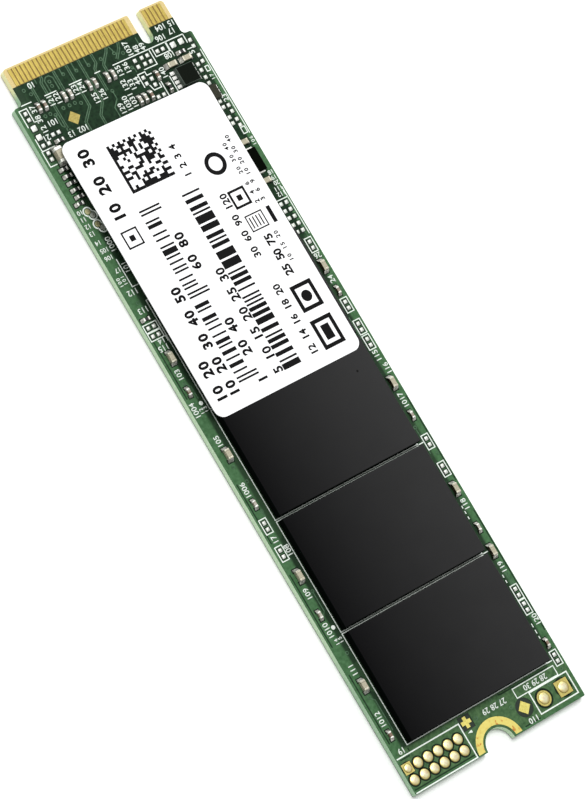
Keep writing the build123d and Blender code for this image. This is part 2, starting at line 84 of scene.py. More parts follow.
class Look:
    """A material with one Principled shader and the detail that feeds it, in screen colours."""

    def __init__(self, name, color, roughness, metallic=0.0, specular=0.5):
        even_color = srgb(color)
        self.material = bpy.data.materials.new(name)
        self.material.use_nodes = True
        self.material.diffuse_color = even_color
        self.tree = self.material.node_tree
        self.surface = self.tree.nodes["Principled BSDF"].inputs
        self.surface["Base Color"].default_value = even_color
        self.surface["Roughness"].default_value = roughness
        self.surface["Metallic"].default_value = metallic
        self.surface["Specular IOR Level"].default_value = specular
        self.place = self.node("TexCoord", {}).outputs["Object"]

    def feed(self, socket, value):
        """Sets a socket to a constant, or links it to another node's output."""
        if isinstance(value, bpy.types.NodeSocket):
            self.tree.links.new(value, socket)
        else:
            socket.default_value = value

    def node(self, kind, sockets, **settings):
        """A new node with its settings and what its sockets take."""
        made = self.tree.nodes.new("ShaderNode" + kind)
        for key, value in settings.items():
            setattr(made, key, value)
        for key, value in sockets.items():
            self.feed(made.inputs[key], value)
        return made

    def noise(self, size, detail=3, stretch=(1, 1, 1)):
        """Noise with features about size millimetres across, longer where it is stretched."""
        scale = [1 / (size * MM * s) for s in stretch]
        mapping = self.node("Mapping", {"Vector": self.place, "Scale": scale})
        sockets = {"Vector": mapping.outputs["Vector"], "Scale": 1.0, "Detail": detail}
        return self.node("TexNoise", sockets).outputs["Fac"]

    def ramp(self, source, *stops):
        """Colours along a 0 to 1 value, as (position, colour) stops."""
        ramp = self.node("ValToRGB", {"Fac": source})
        elements = ramp.color_ramp.elements
        while len(elements) < len(stops):
            elements.new(1.0)
        for element, (position, color) in zip(elements, stops):
            element.position = position
            element.color = srgb(color)
        return ramp.outputs["Color"]

    def tones(self, source, low, high, start=0.3, end=0.7):
        """Two colours across the middle of a 0 to 1 value."""
        return self.ramp(source, (start, low), (end, high))

    def mix(self, share, first, second, blend="MIX"):
        """The second colour over the first, by a share."""
        sockets = {"Factor": share, "A": first, "B": second}
        return self.node("Mix", sockets, data_type="RGBA", blend_type=blend).outputs["Result"]

    def product(self, first, second):
        return self.node("Math", {0: first, 1: second}, operation="MULTIPLY").outputs["Value"]

    def either(self, first, *others):
        """The largest of some shares."""
        for other in others:
            first = self.node("Math", {0: first, 1: other}, operation="MAXIMUM").outputs["Value"]
        return first

    def part(self, vector, axis):
        return self.node("SeparateXYZ", {"Vector": vector}).outputs[axis]

    def spread(self, source, start, end, low=0.0, high=1.0):
        """A value that runs from low to high while its source runs from start to end."""
        sockets = {"Value": source, "From Min": start, "From Max": end, "To Min": low, "To Max": high}
        return self.node("MapRange", sockets).outputs["Result"]

    def slope(self, axis, start, end, low=0.0, high=1.0):
        """A value that runs from low to high along an axis, between two millimetre values."""
        return self.spread(self.part(self.place, axis), start * MM, end * MM, low, high)

    def between(self, axis, low, high, soft):
        """1 where the place along an axis lies between two millimetre values, with soft ends."""
        rise = self.slope(axis, low - soft, low + soft)
        fall = self.slope(axis, high + soft, high - soft)
        return self.product(rise, fall)

    def window(self, across, along, soft):
        """1 inside a plan rectangle, from its X and Y reaches and how soft it ends along each."""
        return self.product(self.between("X", *across, soft[0]), self.between("Y", *along, soft[1]))

    def level(self, height):
        """1 on a face at a height in millimetres."""
        reach = 0.02
        return self.between("Z", height - reach, height + reach, soft=reach / 4)

    def stained(self, source):
        """A colour with painted shade, dark brown, on the right strip's sides that face the flash packages.
        """
        strip = self.window((9.2, 10.6), (strip_foot, 12.5), soft=(0.02, 0.2))
        normal = self.node("NewGeometry", {}).outputs["Normal"]
        facing = self.spread(self.part(normal, "X"), start=-0.5, end=-0.9)
        # painted shade: brown-black on the sides that face the flash packages, where their shadow falls
        flash_shade = self.tones(self.noise(size=0.25), (16, 13, 8), (96, 84, 52), start=0.35)
        return self.mix(self.product(strip, facing), source, flash_shade)

    def colour(self, source):
        self.feed(self.surface["Base Color"], source)

    def roughen(self, size, low, high):
        """Roughness that wanders between two values, by noise of its own."""
        self.feed(self.surface["Roughness"], self.spread(self.noise(size), 0.0, 1.0, low, high))

    def bump(self, source, depth, strength=0.6):
        """Surface grain of a depth in millimetres."""
        sockets = {"Height": source, "Distance": depth * MM, "Strength": strength}
        self.feed(self.surface["Normal"], self.node("Bump", sockets).outputs["Normal"])


def solder_mask():
    """Green lacquer: dark over bare laminate and across the resistor column, lighter over copper, at the
    mounting end and at the edges.
    """
    look = Look("solder_mask", (40, 64, 44), roughness=0.35, specular=0.09)
    pour_size = 4.2
    pour_sockets = {"Vector": look.place, "Scale": 1 / (pour_size * MM)}
    pours = look.node("TexVoronoi", pour_sockets, distance="CHEBYCHEV")
    split = look.node("SeparateColor", {"Color": pours.outputs["Color"]})
    copper = look.ramp(split.outputs["Red"], (0.0, (28, 46, 30)), (0.5, (36, 56, 38)), (1.0, (48, 72, 48)))
    grain = look.noise(size=0.35, detail=4)
    dark_lacquer = look.tones(grain, (4, 29, 11), (16, 47, 23))
    rim = look.tones(grain, (62, 102, 63), (82, 123, 83))
    foot = look.tones(grain, (60, 92, 58), (88, 121, 79))
    mottle = look.tones(grain, (22, 41, 26), (46, 72, 49))

    # the mask is dark across the resistor column
    resistor_column = look.window((-10.3, -8.8), (25.3, 29.0), soft=(0.1, 0.1))
    pad_field = look.window((9.0, past_side), (pad_field_low, 31.0), soft=(0.1, 0.3))
    tongue = look.window((-9.2, 10.2), (30.0, 38.5), soft=(0.4, 0.4))
    left_strip = look.window((-past_side, -9.75), (strip_foot, 29.5), soft=(0.12, 0.5))
    right_strip = look.window((10.1, past_side), (strip_foot, pad_field_low), soft=(0.12, 0.5))
    right_rim = look.window((10.38, past_side), (pad_field_low, 33.0), soft=(0.1, 0.5))
    mounting_end = look.between("Y", -past_end, -35.6, soft=0.15)
    inside = look.window((-10.55, 10.8), (-39.65, past_end), soft=(0.15, 0.12))

    zoned = look.mix(look.either(resistor_column, pad_field, tongue), copper, dark_lacquer)
    sided = look.mix(look.either(left_strip, right_strip, right_rim), zoned, rim)
    edged = look.mix(inside, rim, look.mix(mounting_end, sided, foot))
    look.colour(look.mix(0.25, edged, mottle))
    look.roughen(size=1.5, low=0.26, high=0.42)
    look.bump(look.noise(size=0.25), depth=0.004, strength=0.5)
    return look.material


def covered_copper():
    """Copper under the lacquer, a paler green than the bare laminate beside it."""
    look = Look("covered_copper", (66, 98, 70), roughness=0.35, specular=0.22)
    look.colour(look.tones(look.noise(size=0.3), (50, 80, 55), (80, 112, 84)))
    look.bump(look.noise(size=0.1), depth=0.003, strength=0.5)
    return look.material


def plain_mask(name, low, high):
    """Even green lacquer: the plain back, or a darker gap in the copper."""
    look = Look(name, low, roughness=0.4, specular=0.1)
    look.colour(look.tones(look.noise(size=0.4), low, high))
    look.bump(look.noise(size=0.1), depth=0.003, strength=0.5)
    return look.material


def laminate():
    """Glass-fibre board: pale yellow on the bare tongue, tinted by the lacquer at the other edges, with
    painted shade, brown, between the fingers.
    """
    look = Look("laminate", (228, 222, 160), roughness=0.5, specular=0.35)
    weave = look.noise(size=0.12, stretch=(1, 1, 0.35))
    bare_wall = look.tones(weave, (226, 224, 166), (242, 242, 190))
    bare_face = look.tones(weave, (196, 174, 112), (214, 194, 136))
    tinted = look.tones(weave, (138, 176, 139), (176, 208, 174))
    pale = look.tones(weave, (172, 204, 164), (208, 231, 199))
    opened = look.tones(weave, (12, 26, 15), (24, 44, 28))
    # painted shade: brown on the bare laminate between the gold fingers
    gap = look.tones(weave, (116, 90, 34), (152, 124, 56))

    skin = 0.01
    finger_foot = 37.95
    face = look.between("Z", core_top - skin, core_top + skin, soft=skin / 2)
    wall = look.between("Z", core_low + skin, core_top - skin, soft=skin / 2)
    tongue_face = look.between("Y", finger_foot, past_end, soft=0.02)
    tongue_wall = look.between("Y", 37.3, past_end, soft=0.5)
    left_fingers = look.between("X", -9.45, 4.95, soft=0.05)
    right_fingers = look.between("X", 7.1, 9.45, soft=0.05)
    finger_length = look.between("Y", finger_foot, 39.8, soft=0.03)
    fingers = look.product(look.either(left_fingers, right_fingers), finger_length)
    notch = look.window((-1.9, 1.9), (-past_end, -38.0), soft=(0.1, 0.2))
    faded = look.either(notch, look.between("Y", -26.0, 23.0, soft=3.0))

    walls = look.mix(tongue_wall, look.mix(faded, tinted, pale), bare_wall)
    faces = look.mix(tongue_face, opened, bare_face)
    look.colour(look.mix(look.product(fingers, face), look.mix(wall, faces, walls), gap))
    look.bump(weave, depth=0.01)
    return look.material


def gold_plate(name, low, high):
    """Gold over nickel, with fine marks from sliding into a socket."""
    look = Look(name, high, roughness=0.35, metallic=0.9)
    drawn = look.noise(size=0.06, detail=4, stretch=(1, 14, 1))
    look.colour(look.tones(drawn, low, high, start=0.25, end=0.75))
    look.roughen(size=0.4, low=0.28, high=0.46)
    look.bump(drawn, depth=0.003)
    return look.material


def fiducial_gold():
    """Small bare marks of gold, duller towards the tongue."""
    look = Look("mark_gold", (226, 212, 120), roughness=0.35, metallic=0.9)
    grain = look.noise(size=0.15)
    bright = look.tones(grain, (222, 208, 108), (242, 232, 136))
    dull = look.tones(grain, (138, 124, 66), (162, 148, 86))
    look.colour(look.mix(look.slope("Y", strip_foot, 33.0), bright, dull))
    look.roughen(size=0.3, low=0.3, high=0.45)
    look.bump(grain, depth=0.004, strength=0.5)
    return look.material


def ring_gold():
    """The bare ring: soft gold with a few reddish stains."""
    look = Look("ring_gold", (236, 212, 122), roughness=0.4, metallic=0.75)
    stains = look.ramp(
        look.noise(size=0.45, detail=2),
        (0.0, (170, 84, 40)), (0.31, (200, 130, 62)), (0.4, (224, 208, 112)), (1.0, (232, 222, 132)),
    )
    look.colour(stains)
    look.roughen(size=0.3, low=0.32, high=0.5)
    look.bump(look.noise(size=0.12), depth=0.006)
    return look.material


def tinned(look, low, high):
    """The slightly grained surface of solder, with its roughness between two values."""
    look.roughen(0.25, low, high)
    look.bump(look.noise(size=0.08), depth=0.008)
    return look.material


def solder(name, low, high, roughness, metallic=0.5):
    """Tin solder."""
    look = Look(name, high, roughness=0.3, metallic=metallic)
    look.colour(look.stained(look.tones(look.noise(size=0.2, detail=4), low, high, start=0.25)))
    return tinned(look, *roughness)


def lead_tin():
    """Bright tin on the leads of the small chips, with painted shade, dark and dull, on the regulator's right
    row.
    """
    look = Look("lead_solder", (252, 252, 248), roughness=0.3, metallic=0.2)
    grain = look.noise(size=0.2, detail=4)
    bright = look.tones(grain, (228, 228, 222), (252, 252, 248), start=0.25)
    # painted shade: the leads of the regulator's right row are dark and dull
    dull = look.tones(grain, (34, 40, 30), (58, 64, 52), start=0.25)
    right_row = look.window((8.2, 9.2), (30.8, 33.3), soft=(0.05, 0.1))
    look.colour(look.mix(right_row, bright, dull))
    return tinned(look, 0.3, 0.5)


def dome_solder():
    """Solder of the filled holes: painted shade, brown, at the rim of a dome, then pale gold, and a painted
    highlight, nearly white, on top.
    """
    look = Look("warm_solder", (248, 244, 220), roughness=0.3, metallic=0.7)
    above = look.slope("Z", board_top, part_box("debug_port")[1].z / MM)
    back = look.between("Z", -1.0, core_low + 0.1, soft=0.02)
    # painted shade and highlight: brown low on a dome, nearly white at its top and on the back pads
    rise = look.ramp(
        look.either(above, back),
        (0.2, (104, 92, 48)), (0.45, (196, 184, 116)), (0.75, (236, 230, 180)), (1.0, (252, 249, 228)),
    )
    cloud = look.noise(size=0.32)
    tint = look.tones(cloud, (226, 190, 150), (246, 248, 218), start=0.36, end=0.6)
    look.colour(look.mix(0.6, rise, tint, "MULTIPLY"))
    return tinned(look, 0.24, 0.42)


def moulded(look, low, high):
    """The fine even grain of epoxy, with its roughness between two values."""
    look.roughen(3.0, low, high)
    look.bump(look.noise(size=0.05), depth=0.004, strength=0.5)
    return look.material


def mould_compound(name, low, high, roughness, specular):
    """Black epoxy."""
    look = Look(name, low, roughness=0.4, specular=specular)
    look.colour(look.tones(look.noise(size=0.07, detail=4), low, high))
    return moulded(look, *roughness)


def flash_compound():
    """The flash packages' epoxy: near black, with a painted sheen on top that grows across the card, and
    painted shade on the sides.
    """
    look = Look("flash_black", (12, 12, 13), roughness=0.45, specular=0.25)
    grain = look.noise(size=0.07, detail=4)
    top = look.level(package_top)
    face = look.tones(grain, (7, 7, 8), (14, 14, 15))
    # painted shade: the sides are darker than the top
    side = look.tones(grain, (5, 8, 7), (10, 13, 11))
    look.colour(look.mix(top, side, face))
    # painted sheen: a specular level on the top that rises along X; the sides get none
    shine = look.product(top, look.slope("X", -9.0, 9.0, low=0.03, high=0.36))
    look.feed(look.surface["Specular IOR Level"], shine)
    return moulded(look, 0.36, 0.5)


def regulator_compound():
    """The regulator's epoxy: near black on top, with a painted sheen, slate grey, on the sides."""
    look = Look("regulator_black", (8, 12, 8), roughness=0.5, specular=0.05)
    grain = look.noise(size=0.07, detail=4)
    face = look.tones(grain, (4, 9, 3), (8, 16, 7))
    # painted sheen: the sides are slate grey, the top near black
    side = look.tones(grain, (84, 95, 87), (110, 120, 112))
    look.colour(look.mix(look.level(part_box("power_chip")[1].z / MM), side, face))
    return moulded(look, 0.45, 0.6)


def fired(look):
    """The dusty surface of fired ceramic."""
    look.roughen(size=0.2, low=0.35, high=0.55)
    look.bump(look.noise(size=0.05), depth=0.006)
    return look.material


def ceramic(name, low, high):
    """Speckled ceramic."""
    look = Look(name, high, roughness=0.45, specular=0.4)
    look.colour(look.stained(look.tones(look.noise(size=0.08, detail=5), low, high)))
    return fired(look)


def chip_ceramic():
    """Small capacitors, some of them brown and some pale."""
    look = Look("small_ceramic", (150, 132, 114), roughness=0.45, specular=0.4)
    speckle = look.noise(size=0.08, detail=5)
    brown = look.tones(speckle, (98, 78, 62), (142, 120, 102))
    pale = look.tones(speckle, (150, 146, 134), (198, 194, 182))
    patches = look.noise(size=1.7, detail=0)
    batch = look.tones(patches, (0, 0, 0), (255, 255, 255), start=0.44, end=0.56)
    look.colour(look.stained(look.mix(batch, brown, pale)))
    return fired(look)


def white_ink():
    """Printed ink, thinner where the mask shows through."""
    look = Look("print_white", (216, 226, 216), roughness=0.6, specular=0.2)
    cover = look.noise(size=0.12, detail=4)
    look.colour(look.tones(cover, (194, 208, 195), (240, 246, 240), start=0.25, end=0.6))
    look.bump(look.noise(size=0.06), depth=0.004)
    return look.material


def label_paper():
    """Coated white paper."""
    look = Look("label_paper", (250, 250, 250), roughness=0.4, specular=0.3)
    look.colour(look.tones(look.noise(size=0.3, detail=5), (244, 245, 246), (252, 252, 252)))
    look.roughen(size=2.0, low=0.34, high=0.46)
    look.bump(look.noise(size=1.6, detail=4), depth=0.01, strength=0.25)
    return look.material


def black_ink():
    """Toner on the label."""
    look = Look("label_ink", (12, 12, 13), roughness=0.5, specular=0.06)
    look.colour(look.tones(look.noise(size=0.1, detail=4), (8, 8, 9), (18, 18, 19)))
    look.bump(look.noise(size=0.08), depth=0.002, strength=0.4)
    return look.material


def studio_floor():
    """Plain pale paper sweep."""
    look = Look("studio_floor", (250, 250, 250), roughness=0.9, specular=0.1)
    look.colour(look.tones(look.noise(size=40, detail=2), (248, 248, 248), (252, 252, 252)))
    return look.material


mask_green = solder_mask()
trace_green = covered_copper()
back_green = plain_mask("back_green", (30, 52, 34), (44, 70, 47))
gap_green = plain_mask("gap_green", (20, 42, 25), (34, 60, 38))
# near black: partly the mask's clearance, partly painted shade round the pads, parts and holes
border_and_shade_green = plain_mask("border_and_shade_green", (9, 22, 12), (20, 40, 25))
board_core = laminate()
finger_gold = gold_plate("finger_gold", (144, 126, 60), (184, 164, 87))
pad_gold = gold_plate("pad_gold", (190, 174, 92), (226, 212, 132))
mark_gold = fiducial_gold()
bare_ring = ring_gold()
test_gold = solder("test_gold", (128, 122, 78), (190, 186, 146), (0.35, 0.55), 0.7)
bright_solder = solder("bright_solder", (206, 206, 196), (246, 246, 240), (0.24, 0.42))
lead_solder = lead_tin()
# painted glints: the fillet solder's wide noisy range runs from dark grey-brown to near white
fillet_solder_painted_glints = solder("fillet_solder_painted_glints", (84, 82, 66), (240, 240, 232), (0.3, 0.5))
capacitor_tin = solder("capacitor_tin", (156, 152, 132), (214, 210, 192), (0.3, 0.5))
warm_solder = dome_solder()
pad_solder = solder("pad_solder", (176, 182, 172), (236, 240, 232), (0.3, 0.5), 0.35)
via_grey = solder("via_grey", (138, 144, 134), (190, 194, 184), (0.4, 0.6))
flash_black = flash_compound()
chip_black = mould_compound("chip_black", (6, 7, 6), (13, 14, 12), (0.45, 0.6), 0.07)
regulator_black = regulator_compound()
switch_black = mould_compound("switch_black", (24, 25, 19), (66, 66, 54), (0.45, 0.6), 0.07)
ferrite = mould_compound("ferrite", (3, 5, 2), (6, 9, 4), (0.5, 0.7), 0.012)
grey_ceramic = ceramic("grey_ceramic", (144, 138, 115), (190, 185, 162))
small_ceramic = chip_ceramic()
dark_ceramic = ceramic("dark_ceramic", (14, 14, 15), (34, 33, 32))
base_ceramic = ceramic("base_ceramic", (96, 86, 76), (128, 116, 104))
can_metal = solder("can_metal", (170, 170, 166), (206, 206, 202), (0.3, 0.45))
print_white = white_ink()
paper = label_paper()
ink = black_ink()


# Mesh builders

weld_reach = 1e-7
font_weld_reach = 1e-5
sharpest_mitre = 0.5
bevel_segments = 2
flat_turn = math.radians(1)
edge_turn = math.radians(30)


def add_object(name, data):
    made = bpy.data.objects.new(name, data)
    bpy.context.scene.collection.objects.link(made)
    return made


def place_piece(name, shape, material):
    """A new piece on the card, which takes over the form that it is given."""
    mesh = bpy.data.meshes.new(name)
    shape.to_mesh(mesh)
    shape.free()
    mesh.materials.append(material)
    piece = add_object(name, mesh)
    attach(piece, "root")
    return piece


def smooth_piece(name, shape, material, crease=None):
    """A smooth piece of solder, creased where its faces turn by more than an angle in degrees."""
    bmesh.ops.recalc_face_normals(shape, faces=shape.faces)
    piece = place_piece(name, shape, material)
    piece.data.shade_smooth()
    if crease:
        piece.data.set_sharp_from_angle(angle=math.radians(crease))
    return piece


def node_shape(node):
    """A CAD node's form, with its faces joined."""
    shape = bmesh.new()
    shape.from_mesh(nodes[node].data)
    bmesh.ops.remove_doubles(shape, verts=shape.verts, dist=weld_reach)
    return shape


def eased_copy(node, width, material):
    """A CAD node's form with its edges eased, which then stands for the node."""
    shape = node_shape(node)
    bmesh.ops.dissolve_limit(shape, angle_limit=flat_turn, verts=shape.verts, edges=shape.edges)
    sharp = [edge for edge in shape.edges if edge.calc_face_angle(0) > edge_turn]
    bmesh.ops.bevel(
        shape, geom=sharp, offset=width * MM, segments=bevel_segments, profile=0.5, affect="EDGES",
        clamp_overlap=True,
    )
    piece = place_piece(node + "_eased", shape, material)
    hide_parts(node)


def circle(x, y, radius, sides):
    """Plan points round a circle, anticlockwise."""
    turns = [2 * math.pi * i / sides for i in range(sides)]
    return [(x + radius * math.cos(turn), y + radius * math.sin(turn)) for turn in turns]


def mitred(points, shift):
    """A line moved sideways, to its left where the shift is positive, with mitred corners."""
    line = [Vector(point) for point in points]
    moved = []
    for i, point in enumerate(line):
        before = (point - line[i - 1]).normalized() if i else (line[1] - point).normalized()
        after = (line[i + 1] - point).normalized() if i + 1 < len(line) else before
        normal = Vector((-before.y - after.y, before.x + after.x)).normalized()
        side = Vector((-before.y, before.x))
        moved.append(tuple(point + normal * (shift / max(normal.dot(side), sharpest_mitre))))
    return moved


def corners(shape, points, height):
    """New corners of a form, at plan points on one level."""
    return [shape.verts.new((x * MM, y * MM, height * MM)) for x, y in points]


def band(shape, first, second):
    """Faces between two loops of corners, either of which may be a single point."""
    sides = max(len(first), len(second))
    for i in range(sides):
        j = (i + 1) % sides
        near = (first[i % len(first)], first[j % len(first)])
        far = (second[j % len(second)], second[i % len(second)])
        shape.faces.new(tuple(dict.fromkeys(near + far)))


def turned(shape, profile, x, y, sides):
    """Adds a form turned about a vertical axis, from (radius, height) points that end at its middle."""
    loops = []
    for radius, height in profile:
        points = circle(x, y, radius, sides) if radius else [(x, y)]
        loops.append(corners(shape, points, height))
    for first, second in zip(loops, loops[1:]):
        band(shape, first, second)


class Sheet:
    """Thin flat shapes on one level, gathered into one mesh. Lengths are in millimetres."""

    def __init__(self, level, thickness):
        self.low = level
        self.high = level + thickness
        self.shapes = bmesh.new()

    def polygon(self, points):
        """A prism on a simple outline, which runs anticlockwise."""
        low = corners(self.shapes, points, self.low)
        high = corners(self.shapes, points, self.high)
        self.shapes.faces.new(high)
        self.shapes.faces.new(low[::-1])
        band(self.shapes, low, high)

    def bar(self, x0, y0, x1, y1):
        self.polygon(((x0, y0), (x1, y0), (x1, y1), (x0, y1)))

    def frame(self, x0, y0, x1, y1, width):
        """A rectangle's outline, inside the given corners."""
        self.bar(x0, y0, x1, y0 + width)
        self.bar(x0, y1 - width, x1, y1)
        self.bar(x0, y0 + width, x0 + width, y1 - width)
        self.bar(x1 - width, y0 + width, x1, y1 - width)

    def disc(self, x, y, radius, sides=20):
        self.polygon(circle(x, y, radius, sides))

    def ring(self, x, y, outer, inner, sides):
        """A flat ring with an open middle."""
        section = ((inner, self.low), (outer, self.low), (outer, self.high), (inner, self.high))
        loops = [corners(self.shapes, circle(x, y, radius, sides), height) for radius, height in section]
        for first, second in zip(loops, loops[1:] + loops[:1]):
            band(self.shapes, first, second)

    def ribbon(self, points, width):
        """A band of even width along a line with mitred corners."""
        self.polygon(mitred(points, -width / 2) + mitred(points, width / 2)[::-1])

    def digits(self, text, x, y, height, turn, weight, spacing=1.0):
        """Plain numbers about a middle point, turned by degrees."""
        curve = bpy.data.curves.new("digits", "FONT")
        curve.body = text
        curve.align_x = "CENTER"
        curve.align_y = "CENTER"
        curve.offset = weight
        curve.space_character = spacing
        curve.resolution_u = 3
        writing = bpy.data.objects.new("digits", curve)
        mesh = bpy.data.meshes.new_from_object(writing)
        bpy.data.objects.remove(writing)
        bpy.data.curves.remove(curve)
        flat = bmesh.new()
        flat.from_mesh(mesh)
        bmesh.ops.remove_doubles(flat, verts=flat.verts, dist=font_weld_reach)
        across = [vert.co.x for vert in flat.verts]
        along = [vert.co.y for vert in flat.verts]
        middle_x = (min(across) + max(across)) / 2
        middle_y = (min(along) + max(along)) / 2
        settle = (
            Matrix.Translation((x * MM, y * MM, self.low * MM))
            @ Matrix.Rotation(math.radians(turn), 4, "Z")
            @ Matrix.Scale(height * MM / (max(along) - min(along)), 4)
            @ Matrix.Translation((-middle_x, -middle_y, 0))
        )
        bmesh.ops.transform(flat, matrix=settle, verts=flat.verts)
        raised = bmesh.ops.extrude_face_region(flat, geom=flat.faces[:])
        tops = [item for item in raised["geom"] if isinstance(item, bmesh.types.BMVert)]
        bmesh.ops.translate(flat, verts=tops, vec=(0, 0, self.high * MM - self.low * MM))
        bmesh.ops.recalc_face_normals(flat, faces=flat.faces)
        flat.to_mesh(mesh)
        flat.free()
        self.shapes.from_mesh(mesh)
        bpy.data.meshes.remove(mesh)

    def piece(self, name, material, slot=None):
        return place_piece(name, self.shapes, material)


# Copper under the mask

trace_width = 0.11
trace_pitch = 0.2
mask_edge = 37.9
label_shade = 30.9
lane_pairs = (
    ((-8.08, mask_edge), (-8.08, 35.6)),
    ((-5.06, mask_edge), (-5.06, 35.55)),
    ((-3.48, mask_edge), (-3.48, 33.25), (-4.75, 32.0), (-4.75, label_shade)),
    ((-2.03, mask_edge), (-2.03, 33.1), (-2.9, 32.0), (-2.9, label_shade)),
    ((-0.4, mask_edge), (-0.4, 36.9), (-0.85, 36.4), (-0.85, 33.95)),
    ((-6.6, mask_edge), (-6.6, 37.65), (-6.9, 37.3), (-6.9, 31.9)),
    ((1.5, mask_edge), (1.2, 37.45), (0.4, 36.6), (0.25, 36.4), (0.25, 35.6)),
    ((2.95, mask_edge), (2.7, 37.3), (1.9, 36.4)),
    ((10.35, -24.6), (10.35, -27.4)),
)
single_traces = (
    ((-6.45, 36.0), (-6.45, 37.35), (-6.15, 37.65), (-5.75, 37.65), (-5.45, 37.35), (-5.45, 36.0)),
    ((-4.35, mask_edge), (-4.35, 37.35), (-4.25, 37.2)),
    ((-2.85, mask_edge), (-2.85, 37.15), (-2.75, 37.0)),
    ((-1.35, mask_edge), (-1.35, 37.15), (-1.25, 37.0)),
    ((1.75, mask_edge), (1.95, 37.4), (1.95, 37.1)),
    ((-7.35, mask_edge), (-7.35, 37.4)),
    ((4.95, 37.6), (4.95, 36.6)),
    ((-7.3, 33.85), (-7.3, 32.6), (-6.4, 31.7)),
    ((2.9, 35.0), (3.1, 34.75), (3.1, 34.4)),
    ((-0.4, 33.7), (-0.4, 32.8), (-1.1, 32.1), (-1.1, label_shade)),
    ((-9.85, -9.4), (-9.85, -10.6)),
    ((-9.5, -18.4), (-9.5, -20.6), (-9.9, -21.0)),
    ((-10.1, 4.85), (-9.6, 4.35), (-9.6, 3.0)),
    ((-10.1, -29.8), (-9.6, -30.3), (-9.6, -33.6)),
    ((10.45, 13.9), (10.45, 11.6)),
    ((9.75, 3.4), (9.75, 1.0)),
    ((9.85, -9.4), (9.85, -12.2)),
)

traces = Sheet(board_top, trace_height)
for pair in lane_pairs:
    for shift in (-trace_pitch / 2, trace_pitch / 2):
        traces.ribbon(mitred(pair, shift), trace_width)
for trace in single_traces:
    traces.ribbon(trace, trace_width)
traces.piece("copper_traces", trace_green, "solder_mask")

via_outer = 0.2
via_inner = 0.11
via_sides = 16
via_places = (
    (-8.35, 34.15), (-7.75, 34.15), (-7.3, 33.85), (-6.15, 34.15), (-5.4, 34.15), (-4.75, 34.15),
    (-4.15, 33.9), (-0.4, 33.7), (-4.25, 37.2), (-2.75, 37.0), (-1.25, 37.0), (-6.0, 37.1), (-6.0, 36.6),
    (1.95, 37.05), (0.3, 37.05), (2.85, 36.7), (2.9, 35.0), (-9.0, 37.3), (-8.5, 36.7),
    (-10.0, 13.85), (-10.1, 4.85), (-10.1, -4.4), (-9.6, -6.2), (-9.85, -9.4), (-9.95, -14.7),
    (-9.5, -18.4), (-9.65, -25.1), (-10.1, -29.8), (10.4, 14.1), (10.6, 6.3), (10.1, -3.9), (10.3, -8.3),
    (10.6, -12.4), (10.1, -16.0), (10.5, -20.6), (10.6, -23.5), (10.3, -28.4), (9.85, -9.2),
    (-7.4, -36.0), (-4.7, -35.9), (1.4, -35.75), (8.05, -37.35), (8.05, -39.2), (10.2, -36.6), (3.0, -37.4),
    (-1.0, -36.6), (-9.7, -36.05), (-3.2, -36.0), (2.2, -36.3),
)
vias = Sheet(board_top, via_height)
for x, y in via_places:
    vias.ring(x, y, via_outer, via_inner, via_sides)
vias.piece("via_rings", trace_green, "solder_mask")

gap_width = 0.14
copper_gaps = (
    ((2.4, -35.72), (2.75, -35.8), (9.0, -35.8)),
    ((-9.2, -35.75), (-9.2, -36.1)),
    ((-2.9, -39.2), (-2.9, -39.75), (-3.0, -39.75)),
    ((-8.9, 31.3), (-7.2, 31.3)),
    ((-10.85, -39.55), (-3.2, -39.55)),
    ((-10.6, -36.45), (-9.4, -36.45)),
    ((3.3, -39.7), (5.3, -39.7)),
    ((9.35, -1.0), (9.35, -11.0)),
    ((9.35, -12.0), (9.35, -23.0)),
    ((9.35, -24.3), (9.35, -35.2)),
    ((-10.75, -6.0), (-10.75, -12.6)),
    ((-10.75, -16.0), (-10.75, -24.0)),
    ((-10.7, -27.0), (-10.7, -34.6)),
    ((-10.7, 12.4), (-10.7, 3.4)),
    ((10.85, -6.0), (10.85, -15.6)),
    ((10.85, -19.0), (10.85, -32.6)),
)
gaps = Sheet(board_top, trace_height)
for line in copper_gaps:
    gaps.ribbon(line, gap_width)
gaps.piece("copper_gaps", gap_green, "solder_mask")

# Clearances in the copper and painted shade: a dark border round every pad and soldered hole

pad_clearance = 0.1
hole_gap = 0.06
hole_clearances = (("debug_port", 0.14, 32), ("switch_pads", 0.22, 40))


def plan_boxes(node):
    """Plan boxes of a node's separate solids, as (low x, low y, high x, high y) in millimetres."""
    shape = node_shape(node)
    boxes = []
    for start in shape.verts:
        if start.tag:
            continue
        start.tag = True
        reached = [start]
        for vert in reached:
            for edge in vert.link_edges:
                other = edge.other_vert(vert)
                if not other.tag:
                    other.tag = True
                    reached.append(other)
        across = [vert.co.x / MM for vert in reached]
        along = [vert.co.y / MM for vert in reached]
        boxes.append((min(across), min(along), max(across), max(along)))
    shape.free()
    return boxes


borders_and_shade = Sheet(board_top, clearance_height)
for node in ("empty_pads", "solder_fillets"):
    for x0, y0, x1, y1 in plan_boxes(node):
        borders_and_shade.frame(
            x0 - pad_clearance, y0 - pad_clearance, x1 + pad_clearance, y1 + pad_clearance, pad_clearance
        )
for node, reach, sides in hole_clearances:
    for x0, y0, x1, y1 in plan_boxes(node):
        radius = (x1 - x0) / 2
        borders_and_shade.ring((x0 + x1) / 2, (y0 + y1) / 2, radius + reach, radius + hole_gap, sides)
borders_and_shade.piece("pad_borders_and_shade", border_and_shade_green, "solder_mask")

# Solder on the bare pads, a low pillow on each

pillow_rise = 0.07
pillow_steps = 6
pillow_crease = 60


def bulge(share):
    """How full a pillow is along one side: 0 at both ends, 1 in the middle."""
    return 1 - (2 * share - 1) ** 4


